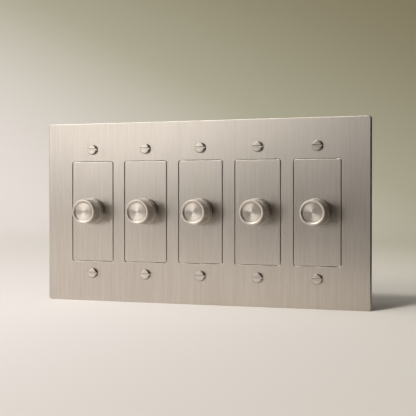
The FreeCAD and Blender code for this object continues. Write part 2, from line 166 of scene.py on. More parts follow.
def noise(base, x, y, z, detail=2.0):
    """Soft noise around 0.5 at a point whose coordinates are already scaled."""
    place = base.node("CombineXYZ", inputs={0: x, 1: y, 2: z})
    settings = {"noise_dimensions": "3D"}
    return base.node("TexNoise", settings, {"Vector": place, "Scale": 1.0, "Detail": detail}, "Fac")


def grain(base, waves, shift=0.0, detail=2.0):
    """Soft noise around 0.5 with a number of waves to the metre along each axis, shifted along X."""
    x, y, z = [axis * count for axis, count in zip(point(base), waves)]
    return noise(base, x + shift, y, z, detail)


def tilted_normal(base, direction, amount):
    """The surface normal leaned along a direction by a varying amount."""
    normal = base.node("NewGeometry", output="Normal")
    lean = base.vector("MULTIPLY", direction, amount)
    return base.vector("NORMALIZE", base.vector("ADD", normal, lean))


print("noise ready")

# %% [markdown]
# ## Ending a material
# Most finishes end in one principled shader. Sheet metal can need two, because only its front was worked
# on. The normal's Y says which way a face looks, so it makes the factor that mixes the two shaders.

# %% One shader, or one for each side of a sheet
FACING_WALL = (0.4, 0.6)


def finish_off(base, sockets, behind=None):
    """Ends a material with one principled shader, or with a second one on what faces the wall."""
    shader = base.node("BsdfPrincipled", inputs=sockets)
    if behind:
        normal = base.node("NewGeometry", output="Normal")
        to_wall = base.node("SeparateXYZ", inputs={0: normal}, output=1).between(*FACING_WALL)
        rear = base.node("BsdfPrincipled", inputs=behind)
        shader = base.node("MixShader", inputs={0: to_wall, 1: shader, 2: rear})
    base.node("OutputMaterial", inputs={"Surface": shader})


print("material ends ready")

# %% [markdown]
# ## Brushed steel
# The plate and the inserts were brushed up and down with a fine belt, which leaves thousands of shallow
# scratches. Each scratch leans the surface a little to the left or right, so light spreads sideways and
# the steel shows fine vertical streaks. A picture of scratches would blur close up. Here the lean is
# calculated: three noises, each drawn out along Z, tilt the normal along X, and the same streaks vary
# colour and roughness. The belt never reaches the side towards the wall, so a second shader leaves that as
# dull as it was rolled.

# %% Brushed steel for the plate and inserts
STEEL = (0.71, 0.66, 0.595, 1)
STEEL_DARK = (0.60, 0.55, 0.49, 1)
HAIR_WAVES = (5200, 900, 90)
STREAK_WAVES = (1300, 300, 34)
BAND_WAVES = (260, 60, 14)
CLOUD_WAVES = (22, 22, 16)
BRUSHED_ROUGHNESS = 0.325
BRUSHED_SPREAD = 0.77
BRUSHED_LEAN = 0.11
ROLLED_ROUGHNESS = 0.42


def brushed_steel(name, shift):
    """Steel with upright brush lines in front; shift gives another stretch of the same lines."""
    material, base = start_finish(name)
    hair, streak, band, cloud = [grain(base, waves, shift)
                                 for waves in (HAIR_WAVES, STREAK_WAVES, BAND_WAVES, CLOUD_WAVES)]
    brush = hair * 0.4 + streak * 0.4 + band * 0.2
    tone = (brush * 0.8 + cloud * 0.2).between(0.34, 0.66)
    brushed = {
        "Base Color": tone.mix(STEEL_DARK, STEEL),
        "Metallic": 1.0,
        "Roughness": BRUSHED_ROUGHNESS + (streak - 0.5) * 0.08 + (cloud - 0.5) * 0.06,
        "Anisotropic": BRUSHED_SPREAD,
        "Normal": tilted_normal(base, (1, 0, 0), (brush - 0.5) * BRUSHED_LEAN),
    }
    rolled = {
        "Base Color": (band * 0.5 + cloud * 0.5).between(0.3, 0.7).mix(STEEL_DARK, STEEL),
        "Metallic": 1.0,
        "Roughness": ROLLED_ROUGHNESS + (cloud - 0.5) * 0.15,
    }
    finish_off(base, brushed, rolled)
    return material


plate_steel = brushed_steel("plate_steel", 0.0)
insert_steel = brushed_steel("insert_steel", 37.0)
print("brushed:", plate_steel.name, insert_steel.name)

# %% [markdown]
# ## Turned steel
# Knobs, screws and collars come off a lathe, so their scratches run round the axis. Light then spreads
# towards and away from the axis, which gives the two bright fans that cross a spun disc. The shader can do
# that by itself: without any other tangent it takes one that runs round the object's own Z axis. So each
# turned piece below is modelled about Z and then laid over, and a quarter turn of the anisotropy makes the
# spread radial. Rings of noise add the tool marks that show close up. A knob has three finishes: the spun
# disc, a lip that a soft wheel polished evenly, and the dull, cut grip.

# %% Measure the turned pieces
def centre(node):
    """The middle of a node's box."""
    low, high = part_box(node)
    return (Vector(low) + Vector(high)) / 2


KNOB_X = [centre(f"knob_{gang}").x for gang in GANGS]
PITCH = (KNOB_X[-1] - KNOB_X[0]) / (len(KNOB_X) - 1)
low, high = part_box("knob_3")
KNOB_R = (high.x - low.x) / 2
KNOB_BACK = -high.y
SKIRT = 2.4 * MM
KNURL_END = KNOB_BACK + SKIRT
KNURL_DEPTH = 0.22 * MM
low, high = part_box("collar_3")
COLLAR_R = (high.x - low.x) / 2
HEAD_FRONT = -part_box("plate_screws")[0].y
HEAD_R = 4.0 * MM
SLOT_HALF = 0.6 * MM
SLOT_DEPTH = 1.1 * MM
print("gang pitch", round(PITCH / MM, 2), "mm, knob radius", round(KNOB_R / MM, 2), "mm")

# %% [markdown]
# ### Painted shade on turned pieces
# Some spots of the turned pieces are painted darker than the rest. On a slot's walls the dark is partly
# the saw's dull finish and partly painted shade: the wall that looks down gets all of it, the lit one
# less. On a screw head's rim and side, in the knurl's grooves and on the collar's outer wall it is painted
# shade. A mask painted by hand would have to be painted again for each change of size. Small formulas of
# the radius and the height find these places from the sizes themselves.

# %% Find where shade is painted on turned pieces
# The dark colour below stands both for a saw's dull cut and for painted shade.
SAWN_AND_SHADE = (0.13, 0.115, 0.10, 1)
FADE = 0.1 * MM  # the width over which a dull spot ends
SLOT_SMEAR = 0.4 * MM  # how far it spreads beside the slot
SLOT_LIT_WALL = 0.3  # how much of the painted shade the lit wall that looks up gets
HEAD_SKIN = 0.03 * MM  # what stays clean below the head's face
RIM_START = 0.6 * MM  # where the painted shade on the rim begins, in from the head's edge
RIM_FULL = 0.25 * MM  # and where it is full
# How dark the painted shade on the head's rim and side is.
RIM_SHADE = 0.8
KNURL_SKIN = 0.04 * MM  # how far below the grooves the knurl still counts
# How dark the painted shade in the knurl's grooves is.
KNURL_SHADE = 0.75
# How dark the painted shade on a collar's outer wall is.
COLLAR_SHADE = 0.6


def slot_walls(v, w, radius):
    """Up to 1 on a slot's walls, partly the saw's dull finish and partly painted shade, and on the head's
    rim and side, painted shade.
    """
    off = v.math("ABSOLUTE", v)
    beside = off.between(SLOT_HALF - FADE, SLOT_HALF)
    away = off.between(SLOT_HALF + SLOT_SMEAR, SLOT_HALF + SLOT_SMEAR + FADE)
    # Painted shade: the wall that looks down gets it in full, the wall that looks up only in part.
    upper = SLOT_LIT_WALL + v.between(-FADE, FADE) * (1 - SLOT_LIT_WALL)
    below = 1.0 - w.between(HEAD_FRONT - FADE, HEAD_FRONT - HEAD_SKIN)
    above = w.between(HEAD_FRONT - SLOT_DEPTH - 2 * FADE, HEAD_FRONT - SLOT_DEPTH)
    inside = 1.0 - radius.between(HEAD_R - 2 * FADE, HEAD_R - FADE)
    wall = beside * (1.0 - away) * upper * below * above * inside
    floor = (1.0 - beside) * above
    # Adds a painted ring of shade on the head's rim and side.
    return wall + radius.between(HEAD_R - RIM_START, HEAD_R - RIM_FULL) * (1.0 - floor) * RIM_SHADE


def knurl_grooves(v, w, radius):
    """Up to 1 in the grooves of a knob's knurl, where shade is painted."""
    # Painted shade in the knurl's grooves, below the diamonds' points.
    root = KNOB_R - KNURL_DEPTH
    deep = 1.0 - radius.between(root, KNOB_R)
    side = radius.between(root - KNURL_SKIN, root - KNURL_SKIN / 2)
    return deep * side * w.between(KNURL_END, KNURL_END + FADE) * KNURL_SHADE


def collar_wall(v, w, radius):
    """Up to 1 on the outer wall of a collar, where shade is painted."""
    # Painted shade on the collar's outer wall.
    return radius.between(COLLAR_R - 1.5 * FADE, COLLAR_R - 0.5 * FADE) * COLLAR_SHADE


# The dull spots printed below are places of painted shade, on the slot partly a saw's dull finish.
print("dull spots: slot walls, knurl grooves, collar wall")

# %% [markdown]
# ### Rings about an axis
# Knobs and screws are separate pieces with an axis of their own, but the collars stay where the frame has
# them, and one material serves all five. It has to know how far a point is from its own knob's axis. One
# rounding does it: what is left of X after the nearest whole number of gang pitches is taken off.

# %% Turned steel for knobs, screws and collars
TOOL_WAVES = 9000
RING_WAVES = 2600
SPOT_WAVES = 260
TOOL_MARK = 0.02 * MM


def turned_steel(name, roughness, spread=0.0, sawn_and_shaded=None, in_place=False):
    """Steel with rings round Z, or for solids in place, round the Y axis of the nearest knob."""
    material, base = start_finish(name)
    x, y, z = point(base)
    u, v, w = x, y, z
    if in_place:
        u = x - base.math("ROUND", x / PITCH) * PITCH
        v, w = z, y
    radius = base.math("SQRT", u * u + v * v)
    tool = noise(base, radius * TOOL_WAVES, w * TOOL_WAVES, 0.5, detail=1.0)
    ring = noise(base, radius * RING_WAVES, w * RING_WAVES, 7.5)
    cloud = noise(base, u * SPOT_WAVES, v * SPOT_WAVES, w * SPOT_WAVES)
    marks = tool * 0.5 + ring * 0.5
    colour = (ring * 0.7 + cloud * 0.3).between(0.3, 0.7).mix(STEEL_DARK, STEEL)
    # A mask darkens the colour here: partly a saw's dull finish and partly painted shade.
    if sawn_and_shaded:
        colour = sawn_and_shaded(v, w, radius).mix(colour, SAWN_AND_SHADE)
    finish_off(base, {
        "Base Color": colour,
        "Metallic": 1.0,
        "Roughness": roughness + (ring - 0.5) * 0.10 + (cloud - 0.5) * 0.06,
        "Anisotropic": spread,
        "Anisotropic Rotation": 0.25,
        "Normal": base.node("Bump", inputs={"Strength": 0.3, "Distance": TOOL_MARK, "Height": marks}),
    })
    return material


disc_steel = turned_steel("disc_steel", 0.36, spread=0.9)
lip_steel = turned_steel("lip_steel", 0.5)
grip_steel = turned_steel("grip_steel", 0.5, sawn_and_shaded=knurl_grooves)
screw_steel = turned_steel("screw_steel", 0.34, sawn_and_shaded=slot_walls)
collar_steel = turned_steel("collar_steel", 0.34, sawn_and_shaded=collar_wall, in_place=True)
print("turned:", [steel.name for steel in (disc_steel, lip_steel, grip_steel, screw_steel, collar_steel)])

# %% [markdown]
# ## Finishes behind the plate
# The hidden hardware is plainer: rolled aluminium with faint rolling lines, stamped brass, zinc-plated
# screws, green passivated ground screws, and moulded plastics with a fine spark texture. Each gets its own
# grain, because even a plain part shows how it was made when a light runs over it.

# %% Metals behind the plate
METAL_WAVES = 2600
STAIN_WAVES = (90, 90, 90)
METAL_GRAIN = 0.06 * MM


def plain_metal(name, colour, dark, roughness, waves=METAL_WAVES, stretch=1.0):
    """Metal with a fine grain, drawn out along Z where stretch is above 1."""
    material, base = start_finish(name)
    fine = grain(base, (waves, waves, waves / stretch), detail=3.0)
    stain = grain(base, STAIN_WAVES)
    bump = base.node("Bump", inputs={"Strength": 0.25, "Distance": METAL_GRAIN, "Height": fine})
    finish_off(base, {
        "Base Color": (fine * 0.5 + stain * 0.5).between(0.35, 0.65).mix(dark, colour),
        "Metallic": 1.0,
        "Roughness": roughness + (stain - 0.5) * 0.25,
        "Normal": bump,
    })
    return material


yoke_aluminium = plain_metal("yoke_aluminium", (0.70, 0.71, 0.72, 1), (0.52, 0.53, 0.55, 1), 0.38,
                             waves=1800, stretch=12.0)
brass = plain_metal("brass", (0.80, 0.60, 0.30, 1), (0.58, 0.41, 0.18, 1), 0.30)
zinc = plain_metal("zinc", (0.72, 0.72, 0.70, 1), (0.55, 0.55, 0.54, 1), 0.32)
ground_green = plain_metal("ground_green", (0.12, 0.42, 0.20, 1), (0.06, 0.26, 0.11, 1), 0.34)
print("metals:", [item.name for item in (yoke_aluminium, brass, zinc, ground_green)])

# %% Plastics behind the plate
SPARK_WAVES = (5200, 5200, 5200)
RUBBED_WAVES = (70, 70, 70)
SPARK_DEPTH = 0.08 * MM


def moulded_plastic(name, colour, pale, roughness):
    """Plastic with a spark-eroded mould texture and faint rubbed patches."""
    material, base = start_finish(name)
    spark = grain(base, SPARK_WAVES, detail=1.0)
    rubbed = grain(base, RUBBED_WAVES, detail=3.0)
    bump = base.node("Bump", inputs={"Strength": 0.45, "Distance": SPARK_DEPTH, "Height": spark})
    finish_off(base, {
        "Base Color": (rubbed * 0.7 + spark * 0.3).between(0.4, 0.75).mix(colour, pale),
        "Roughness": roughness + (rubbed - 0.5) * 0.2,
        "Normal": bump,
    })
    return material


housing_plastic = moulded_plastic("housing_plastic", (0.035, 0.035, 0.038, 1), (0.075, 0.075, 0.078, 1),
                                  0.50)
control_plastic = moulded_plastic("control_plastic", (0.09, 0.09, 0.10, 1), (0.14, 0.14, 0.15, 1), 0.42)
wiper_plastic = moulded_plastic("wiper_plastic", (0.72, 0.70, 0.63, 1), (0.82, 0.80, 0.74, 1), 0.35)
board_green = moulded_plastic("board_green", (0.03, 0.16, 0.07, 1), (0.06, 0.25, 0.12, 1), 0.30)
print("plastics:", [item.name for item in (housing_plastic, control_plastic, wiper_plastic, board_green)])

# %% [markdown]
# ## Dressing the solids
# A solid from the frame keeps its mesh, and only its material slots change. What shows in front has its
# rounded edges already. The yokes, housings and small hardware behind the plate are still sharp, while a
# stamped, turned or moulded edge always has a small round that catches light. A Weld and a Bevel modifier
# add that round without touching the mesh itself.

# %% Give every solid its finish
FINISHES = {
    "wall_plate": plate_steel, "insert": insert_steel, "collar": collar_steel, "plate_screws": screw_steel,
    "bushing_washers": zinc, "housing_screws": zinc, "shaft": brass, "bushing_nuts": brass,
    "terminal_plates": brass, "terminal_screws": brass, "ground_screws": ground_green,
    "yoke": yoke_aluminium, "housing": housing_plastic, "control_case": control_plastic,
    "switch_block": control_plastic, "wiper": wiper_plastic, "circuit_board": board_green,
    "knob": grip_steel,
}


def kind_of(node):
    """A node's name without its gang number."""
    return node.rstrip("12345").rstrip("_")


for node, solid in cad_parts.items():
    solid.data.materials.clear()
    solid.data.materials.append(FINISHES[kind_of(node)])
print("dressed", len(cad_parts), "solids")

# %% Round the edges behind the plate
EDGE_ROUND = {
    "yoke": 0.20 * MM, "housing": 0.35 * MM, "terminal_plates": 0.12 * MM, "terminal_screws": 0.15 * MM,
    "ground_screws": 0.15 * MM, "housing_screws": 0.15 * MM,
}
SHARP_EDGE = math.radians(32)
SAME_POINT = 0.001 * MM


def round_edges(solid, width):
    """Softens the sharp edges of a solid by a small bevel."""
    weld = solid.modifiers.new("weld", "WELD")
    weld.merge_threshold = SAME_POINT
    bevel = solid.modifiers.new("edge", "BEVEL")
    bevel.width = width
    bevel.segments = 2
    bevel.limit_method = "ANGLE"
    bevel.angle_limit = SHARP_EDGE
    bevel.harden_normals = True


rounded = [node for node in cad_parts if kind_of(node) in EDGE_ROUND]
for node in rounded:
    round_edges(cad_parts[node], EDGE_ROUND[kind_of(node)])
print("rounded the edges of", len(rounded), "solids")

# %% [markdown]
# ## A skin of rings
# Knobs and screws are turned pieces with something cut into them: a knurl, a thread. A lathe modifier
# would only give the plain turned form. So the skin is laid as rings of corners from one end of the piece
# to the other, and where a ring is cut, a formula says how much is taken off at each step round. Each
# four-sided face of the cut stretch is split along its ridge, so that the diamonds keep their edges.

# %% Lay a skin of rings about Z
def skin_of_rings(name, rings, around, cut):
    """A closed mesh from rings of (radius, height, depth of cut); the first and last are single points."""
    shell = bmesh.new()
    rows = []
    for radius, height, depth in rings:
        row = []
        for step in range(around if radius else 1):
            turn = step / around
            reach = radius - depth * cut(turn, height) if depth else radius
            angle = math.tau * turn
            row.append(shell.verts.new((reach * math.cos(angle), reach * math.sin(angle), height)))
        rows.append(row)
    for upper, lower in zip(rows, rows[1:]):
        for step in range(around):
            following = (step + 1) % around
            a, b = upper[step % len(upper)], upper[following % len(upper)]
            d, c = lower[step % len(lower)], lower[following % len(lower)]
            if a is b:
                shell.faces.new((a, c, d))
            elif c is d:
                shell.faces.new((a, b, c))
            elif (a.co.xy.length - c.co.xy.length) ** 2 > (b.co.xy.length - d.co.xy.length) ** 2:
                shell.faces.new((a, b, d))
                shell.faces.new((b, c, d))
            else:
                shell.faces.new((a, b, c))
                shell.faces.new((a, c, d))
    return to_mesh(name, shell)


def to_mesh(name, shell):
    """Turns a shell's faces outward and makes it a mesh."""
    bmesh.ops.recalc_face_normals(shell, faces=shell.faces)
    mesh = bpy.data.meshes.new(name)
    shell.to_mesh(mesh)
    shell.free()
    return mesh


print("skins of rings ready")

# %% [markdown]
# ## Sections and shading
# A turned piece is drawn as its section: straight runs and rounds. Knurl and thread are triangle waves
# wound round the axis. Smooth shading hides the steps of a round, and edges that turn sharply stay sharp.
# A finished piece is laid over so that its Z points out of the wall, and rides on the body that it belongs
# to.

# %% Helpers for turned pieces
def arc(middle_r, middle_z, radius, start, end, count):
    """Points of a round in a section, with angles counted from straight forward to outward."""
    turns = [math.radians(start + (end - start) * step / count) for step in range(count + 1)]
    return [(middle_r + radius * math.sin(t), middle_z + radius * math.cos(t)) for t in turns]


def uncut(section):
    """Rings without any cut, from the (radius, height) points of a section."""
    return [(radius, height, 0.0) for radius, height in section]


def triangle_wave(value):
    """0 at whole numbers and 1 half-way between."""
    return 1 - abs(2 * (value - math.floor(value)) - 1)


def shade(mesh, steels, sharp):
    """The finishes, and smooth shading apart from edges that turn by more than an angle."""
    mesh.polygons.foreach_set("use_smooth", [True] * len(mesh.polygons))
    mesh.set_sharp_from_angle(angle=math.radians(sharp))
    for steel in steels:
        mesh.materials.append(steel)


def place_turned(name, mesh, x, z, body, node):
    """Puts a piece modelled about Z on the plate, with its Z pointing forward out of the wall."""
    piece = bpy.data.objects.new(name, mesh)
    piece.location = (x, 0.0, z)
    piece.rotation_euler.x = math.pi / 2
    bpy.context.scene.collection.objects.link(piece)
    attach(piece, body)
    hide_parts(node)


print("section helpers ready")

# %% [markdown]
# ## The knurled knobs
# The real knob has a spun disc sunk inside a rounded lip, and a side cut with a fine diamond knurl so that
# fingers grip it. A bump map would leave the outline smooth, so the knurl is real geometry: two sets of
# slanting grooves cross, and what is left standing is the lower of two triangle waves. The skin runs from
# the middle of the disc over the lip, down the side and into the hollow behind.

# %% Measure the knob
KNOB_FRONT = -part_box("knob_3")[0].y
DISC_R = 6.9 * MM
DISC_DEPTH = 1.0 * MM
GROOVE = 0.3 * MM
GROOVE_DEPTH = 0.2 * MM
LIP_R = 8.2 * MM
LIP_SLOPE = math.degrees(math.atan2(DISC_DEPTH, LIP_R - DISC_R - GROOVE))
LIP_ROUND = 0.6 * MM
LIP_CROWN = 0.5 * MM
LAND = 1.7 * MM
SKIRT_STEP = 0.12 * MM
SKIRT_WALL = 1.4 * MM
FOOT_INSET = 0.2 * MM
FOOT_HEIGHT = 0.3 * MM
POCKET = 3.0 * MM
SOCKET_R = 3.03 * MM
END_WALL = 4.5 * MM
KNURL_STARTS = 84
KNURL_STEPS = 4
KNURL_RUN_OUT = 0.05 * MM
KNURL_PITCH = math.tau * KNOB_R / KNURL_STARTS
print("knurl pitch", round(KNURL_PITCH / MM, 2), "mm")


# %% The knob's section
def knob_rings():
    """The rings from the disc's middle to the socket behind: radius, height, and depth of the knurl."""
    floor = KNOB_FRONT - DISC_DEPTH
    front = [(0.0, floor), (DISC_R * 0.5, floor), (DISC_R, floor)]
    front += [(DISC_R + GROOVE / 2, floor - GROOVE_DEPTH), (DISC_R + GROOVE, floor)]
    inner = LIP_R + LIP_ROUND * math.tan(math.radians(LIP_SLOPE / 2))
    front += arc(inner, KNOB_FRONT - LIP_ROUND, LIP_ROUND, -LIP_SLOPE, 0, count=6)
    front += arc(KNOB_R - LIP_CROWN, KNOB_FRONT - LIP_CROWN, LIP_CROWN, 0, 90, count=12)
    start = KNOB_FRONT - LAND
    front += [(KNOB_R, start)]
    row = KNURL_PITCH / KNURL_STEPS
    rows = round((start - KNURL_END) / KNURL_PITCH) * KNURL_STEPS
    knurled = [(KNOB_R, start - KNURL_RUN_OUT - row * step, KNURL_DEPTH) for step in range(rows + 1)]
    bore = KNOB_R - SKIRT_WALL
    end = knurled[-1][1] - KNURL_RUN_OUT
    skirt = KNOB_R + SKIRT_STEP
    behind = [
        (KNOB_R, end), (skirt, end - SKIRT_STEP), (skirt, KNOB_BACK + FOOT_HEIGHT),
        (KNOB_R - FOOT_INSET, KNOB_BACK), (bore, KNOB_BACK), (bore, KNOB_BACK + POCKET),
        (SOCKET_R, KNOB_BACK + POCKET), (SOCKET_R, KNOB_FRONT - END_WALL), (0.0, KNOB_FRONT - END_WALL),
    ]
    return uncut(front) + knurled + uncut(behind)


print("rings in a knob:", len(knob_rings()))


# %% Cut the knurl and place the knobs
def knurl(turn, height):
    """How much the crossing grooves take off: 0 on a diamond's point and 1 in a groove."""
    around = turn * KNURL_STARTS
    along = (KNOB_FRONT - LAND - KNURL_RUN_OUT - height) / KNURL_PITCH
    return 1 - min(triangle_wave(around + along), triangle_wave(around - along))


def knob_zone(face):
    """Which finish a face of the knob has: 0 for the disc, 1 for the lip, 2 for the grip and behind."""
    radius, below = face.center.xy.length, KNOB_FRONT - face.center.z
    if radius < DISC_R + GROOVE and below < DISC_DEPTH + GROOVE_DEPTH:
        return 0
    return 1 if below < DISC_DEPTH else 2


knob_mesh = skin_of_rings("knurled_knob", knob_rings(), KNURL_STARTS * KNURL_STEPS, knurl)
shade(knob_mesh, [disc_steel, lip_steel, grip_steel], sharp=24)
knob_mesh.polygons.foreach_set("material_index", [knob_zone(face) for face in knob_mesh.polygons])
for gang, x in zip(GANGS, KNOB_X):
    place_turned(f"knurled_knob_{gang}", knob_mesh, x, 0.0, f"knob_{gang}", f"knob_{gang}")
print("knob faces:", len(knob_mesh.polygons), "at", [round(x / MM, 1) for x in KNOB_X])

# %% [markdown]
# ## The slotted screws
# Ten cheese-head screws hold the plate to the yokes. Their heads are turned with a rounded rim and slotted
# with a saw, and the shank has a rolled thread. The thread is one more ring formula, a triangle wave that
# climbs by one pitch each turn. The slot is cut with a Boolean, because it is straight and everything else
# here is round. The cutter flares at its mouth, so that the slot's edges come out broken, as a deburred
# edge is.

# %% Measure the screws
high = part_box("plate_screws")[1]
PLATE_FRONT = -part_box("insert_3")[0].y
HEAD_ROUND = 0.7 * MM
HEAD_FOOT = 0.3 * MM
SHANK_END = -high.y
SHANK_R = 1.7 * MM
SCREW_Z = high.z - HEAD_R
THREAD_PITCH = 0.8 * MM
THREAD_DEPTH = 0.42 * MM
THREAD_STEPS = 8
print("screw rows at", round(SCREW_Z / MM, 2), "mm above and below the knobs")


# %% The screw's section and thread
def screw_rings():
    """The rings from the head's middle to the shank's end: radius, height, and depth of the thread."""
    head = [(0.0, HEAD_FRONT), (HEAD_R * 0.5, HEAD_FRONT)]
    head += arc(HEAD_R - HEAD_ROUND, HEAD_FRONT - HEAD_ROUND, HEAD_ROUND, 0, 90, count=6)
    head += [(HEAD_R, PLATE_FRONT + HEAD_FOOT), (HEAD_R - HEAD_FOOT, PLATE_FRONT), (SHANK_R, PLATE_FRONT)]
    start = PLATE_FRONT - THREAD_PITCH
    row = THREAD_PITCH / THREAD_STEPS
    rows = int((start - SHANK_END - THREAD_PITCH) / row)
    shank = [(SHANK_R, start - row * step, THREAD_DEPTH) for step in range(rows + 1)]
    tip = SHANK_R - THREAD_DEPTH
    end = [(tip, SHANK_END + THREAD_DEPTH), (tip - THREAD_DEPTH, SHANK_END), (0.0, SHANK_END)]
    return uncut(head) + shank + uncut(end)


def thread(turn, height):
    """How much the thread takes off: 0 on its crest and 1 at its root."""
    return 1 - triangle_wave(height / THREAD_PITCH - turn)


print("rings in a screw:", len(screw_rings()))

# %% A cutter for the slot
SLOT_DRAFT = 0.05 * MM
SLOT_FLARE = 0.3 * MM
CUTTER_SPARE = 1.0 * MM


def slot_cutter():
    """A bar along X with the slot's section, wider at its mouth."""
    floor = HEAD_FRONT - SLOT_DEPTH
    mouth = HEAD_FRONT - SLOT_FLARE
    above = HEAD_FRONT + SLOT_FLARE
    half = [(SLOT_HALF, floor), (SLOT_HALF + SLOT_DRAFT, mouth), (SLOT_HALF + 2 * SLOT_FLARE, above)]
    section = half + [(-y, z) for y, z in reversed(half)]
    reach = HEAD_R + CUTTER_SPARE
    corners = [(x, y, z) for x in (-reach, reach) for y, z in section]
    count = len(section)
    faces = [tuple(range(count)), tuple(range(2 * count - 1, count - 1, -1))]
    faces += [(i, i + count, (i + 1) % count + count, (i + 1) % count) for i in range(count)]
    bar = bmesh.new()
    points = [bar.verts.new(corner) for corner in corners]
    for face in faces:
        bar.faces.new([points[i] for i in face])
    return bpy.data.objects.new("slot_cutter", to_mesh("slot_cutter", bar))


print("slot", round(2 * SLOT_HALF / MM, 2), "mm wide and", round(SLOT_DEPTH / MM, 2), "mm deep")

# %% Cut the slot and place the screws
SCREW_STEPS = 96


def cut_slot(mesh):
    """The same mesh with the slot cut out of it."""
    blank = bpy.data.objects.new("screw_blank", mesh)
    cutter = slot_cutter()
    for item in (blank, cutter):
        bpy.context.scene.collection.objects.link(item)
    saw = blank.modifiers.new("slot", "BOOLEAN")
    saw.operation = "DIFFERENCE"
    saw.object = cutter
    evaluated = blank.evaluated_get(bpy.context.evaluated_depsgraph_get())
    slotted = bpy.data.meshes.new_from_object(evaluated)
    for item in (blank, cutter):
        bpy.data.objects.remove(item)
    return slotted


screw_mesh = cut_slot(skin_of_rings("slotted_screw", screw_rings(), SCREW_STEPS, thread))
shade(screw_mesh, [screw_steel], sharp=28)
for gang, x in zip(GANGS, KNOB_X):
    for end, z in (("upper", SCREW_Z), ("lower", -SCREW_Z)):
        place_turned(f"{end}_screw_{gang}", screw_mesh, x, z, "base", "plate_screws")
print("screw faces:", len(screw_mesh.polygons))

# %% [markdown]
# ## Floor and backdrop
# The plate stands on a plain pale floor that sweeps up into a wall, as in a studio. One strip of mesh does
# it: a flat part, a quarter round and a wall.

# %% The sweep's shape
FLOOR_Z = cad_box[0][2]
FLOOR_FRONT = -2.2
FLOOR_BACK = 2.2
WALL_TOP = 1.9
SWEEP_R = 0.9
SWEEP_STEPS = 24
HALF_WIDTH = 2.6


def build_sweep():
    """The strip of floor, round and wall, from front to top."""
    bend = FLOOR_BACK - SWEEP_R
    turns = [math.radians(90 * step / SWEEP_STEPS) for step in range(1, SWEEP_STEPS + 1)]
    line = [(FLOOR_FRONT, 0.0), (bend, 0.0)]
    line += [(bend + SWEEP_R * math.sin(t), SWEEP_R - SWEEP_R * math.cos(t)) for t in turns]
    line += [(FLOOR_BACK, WALL_TOP)]
    corners = [(side * HALF_WIDTH, y, FLOOR_Z + z) for y, z in line for side in (-1, 1)]
    faces = [(2 * i, 2 * i + 1, 2 * i + 3, 2 * i + 2) for i in range(len(line) - 1)]
    mesh = bpy.data.meshes.new("sweep")
    mesh.from_pydata(corners, [], faces)
    mesh.polygons.foreach_set("use_smooth", [True] * len(faces))
    return mesh


sweep = bpy.data.objects.new("sweep", build_sweep())
print("floor at", round(FLOOR_Z / MM, 1), "mm")

# %% [markdown]
# ### The sweep's paper
# The paper's colour has painted shade: the wall grows darker upwards and to the right, and the floor
# darker to the right. The colour is also divided by how far the strip turns towards the lamps, so that the
# bend doesn't show. Steel also mirrors the floor in front, outside the picture. There a painted reflection
# stands: only rays that come off the steel see a pale sheet near the plate and dark ground beyond it and
# at the right. Each pair below is where a change of tone starts and ends, in metres.

# %% The paper that the camera sees
# The floor's colour at the left and at the right; the darker right is painted shade.
PAPER_LEFT = (0.77, 0.73, 0.715, 1)
PAPER_RIGHT_SHADED = (0.57, 0.54, 0.49, 1)
PAPER_TURN = (-0.2, 0.3)
# The wall's tones, which darken upwards and to the right, are painted shade.
WALL_SHADE_STOPS = [
    (0.0, (0.82, 0.78, 0.765, 1)), (0.5, (0.395, 0.387, 0.293, 1)), (1.0, (0.197, 0.174, 0.105, 1)),
]
WALL_START = (-0.2, 1.15)
DUSK = (-0.75, 0.75)
DUSK_LEAN = 0.5


def seen_paper(base, x, y, z):
    """The colour of the floor, darker to the right, and of the wall that grows darker upwards and to the
    right: painted shade.
    """
    dusk = (z + x * DUSK_LEAN).between(*DUSK)
    wall = base.node("ValToRGB", {"stops": WALL_SHADE_STOPS}, {"Fac": dusk})
    floor = x.between(*PAPER_TURN).mix(PAPER_LEFT, PAPER_RIGHT_SHADED)
    return y.between(*WALL_START).mix(floor, wall)


print("tones of the wall:", len(WALL_SHADE_STOPS))

# %% The painted floor that only the steel's reflections see
# A pale sheet and dark ground that only the steel's reflections see: a painted reflection.
SHEET = (0.98, 0.93, 0.89, 1)
SHEET_BACK = (-0.40, -0.30)
SHEET_SIDE = (-0.12, 0.06)
GROUND_LEFT = (0.60, 0.565, 0.53, 1)
GROUND_RIGHT = (0.03, 0.028, 0.025, 1)
GROUND_TURN = (-0.95, -0.35)
GROUND_EDGE = (-0.72, -0.44)
GROUND_LEAN = 0.6
GROUND_SIDE = (0.06, 0.3)


def painted_reflection_floor(x, y, seen):
    """A painted reflection: the paper's colour with a pale sheet in front, and dark ground beyond that and
    at the right.
    """
    sheet = (1.0 - y.between(*SHEET_BACK)) * (1.0 - x.between(*SHEET_SIDE))
    ground = x.between(*GROUND_TURN).mix(GROUND_LEFT, GROUND_RIGHT)
    mirrored = (y - x * GROUND_LEAN).between(*GROUND_EDGE).mix(ground, sheet.mix(seen, SHEET))
    return x.between(*GROUND_SIDE).mix(mirrored, GROUND_RIGHT)


print("the pale sheet starts", -SHEET_BACK[1], "m in front of the wall")

# %% Put the paper on the sweep
KEY_WAY = (-0.362, -0.710, 0.575)
KEY_SHARE = 0.955
SOFT_SHARE = 0.45
SPECK_WAVES = (900, 900, 900)


